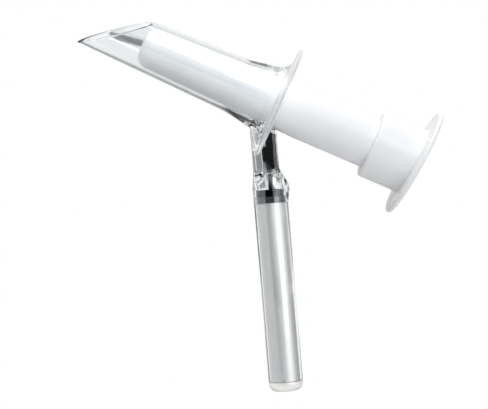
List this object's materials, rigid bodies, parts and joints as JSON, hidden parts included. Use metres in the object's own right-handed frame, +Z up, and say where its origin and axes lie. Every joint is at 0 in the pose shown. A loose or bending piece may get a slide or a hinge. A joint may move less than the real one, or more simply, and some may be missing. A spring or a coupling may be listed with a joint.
{
  "type": "lighted proctoscope",
  "caption": "Clear beaked proctoscope with a bell flange, a white sliding obturator and a slim hollow grip that holds a battery lamp unit.",
  "frame": {"origin": "middle of the grip's sleeve, on its axis", "axes": "+Z up along the grip towards the cannula, -X towards the cannula's beak, +Y across"},
  "size_m": [0.162, 0.0526, 0.1712],
  "materials": {
    "clear_polystyrene": "clear polished moulding",
    "white_polyethylene": "satin moulded",
    "natural_polyethylene": "translucent satin moulded",
    "satin_aluminium": "satin anodised",
    "black_chrome": "polished black chrome",
    "black_abs": "gloss moulded",
    "clear_lens": "polished",
    "led_phosphor": "cast silicone over phosphor",
    "board_laminate": "solder resist",
    "red_insulation": "extruded",
    "black_insulation": "extruded",
    "natural_nylon": "moulded",
    "brass": "turned",
    "resistor_lacquer": "lacquered",
    "cell_steel": "nickel plated",
    "seal_rubber": "moulded",
    "spring_steel": "drawn wire"
  },
  "bodies": {
    "scope": {"scope_body": "clear_polystyrene", "handle_sleeve": "clear_polystyrene"},
    "obturator": {"obturator_stem": "white_polyethylene", "thumb_cap": "natural_polyethylene"},
    "lamp_unit": {"lamp_barrel": "satin_aluminium", "bezel_ring": "black_chrome", "lamp_stem": "black_abs", "lamp_head": "black_abs", "lamp_lens": "clear_lens", "led_package": "led_phosphor", "led_board": "board_laminate", "lead_positive": "red_insulation", "lead_negative": "black_insulation", "insulating_bush": "natural_nylon", "contact_board": "board_laminate", "positive_contact": "brass", "resistor": "resistor_lacquer", "cell_upper": "cell_steel", "cell_lower": "cell_steel"},
    "cap": {"tail_cap": "satin_aluminium", "tail_seal": "seal_rubber", "tail_contact": "brass", "tail_spring": "spring_steel"}
  },
  "joints": [
    {"name": "obturator_slide", "type": "slide", "parent": "scope", "child": "obturator", "axis": [0.8829, 0, -0.4695], "range_m": [-0.039, 0.075]},
    {"name": "lamp_unit_slide", "type": "slide", "parent": "scope", "child": "lamp_unit", "axis": [0, 0, -1], "range_m": [0, 0.115]},
    {"name": "tail_cap_twist", "type": "hinge", "parent": "lamp_unit", "child": "cap", "pos_m": [0, 0, -0.0409], "axis": [0, 0, -1], "range_deg": [0, 90]}
  ]
}
